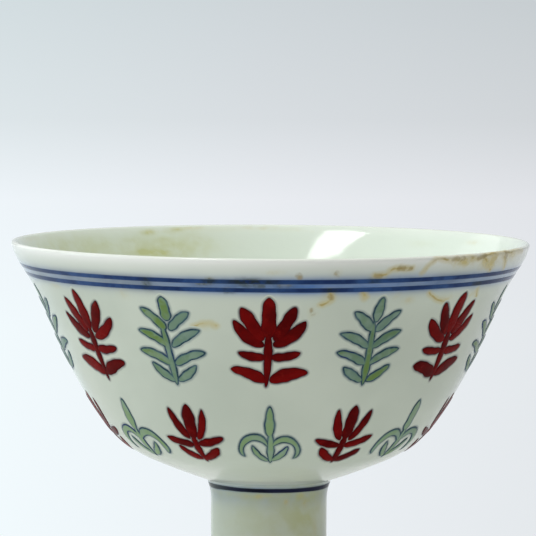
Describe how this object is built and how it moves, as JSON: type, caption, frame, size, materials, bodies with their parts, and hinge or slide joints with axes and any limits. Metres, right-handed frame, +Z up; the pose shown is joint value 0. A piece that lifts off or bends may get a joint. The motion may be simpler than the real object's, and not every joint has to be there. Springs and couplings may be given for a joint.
{
  "type": "stem cup",
  "caption": "Porcelain stem cup with a flared round bowl on a tall hollow splayed stem, glazed and painted with cobalt lines and red and green ornaments, for drinking.",
  "frame": {"origin": "centre of the foot ring's standing face, on the turning axis", "axes": "+Z up along the turning axis, -Y towards the viewer through the middle of an upper red ornament, +X to the viewer's right"},
  "size_m": [0.08, 0.08, 0.08],
  "materials": {
    "porcelain": "bare fired porcelain",
    "slip": "fired slip",
    "glaze": "glossy clear glaze over white porcelain",
    "cobalt": "cobalt blue in the glaze",
    "red_enamel": "iron red enamel on the glaze",
    "green_enamel": "pale green enamel on the glaze"
  },
  "bodies": {
    "root": {"bowl": "porcelain", "stem": "porcelain", "luting_slip": "slip", "glaze_coat": "glaze", "stem_liner_glaze": "glaze", "rim_line_upper": "cobalt", "rim_line_lower": "cobalt", "stem_line": "cobalt", "foot_line_upper": "cobalt", "foot_line_lower": "cobalt", "red_enamel_upper": "red_enamel", "green_enamel_upper": "green_enamel", "red_enamel_lower": "red_enamel", "green_enamel_lower": "green_enamel"}
  },
  "joints": []
}
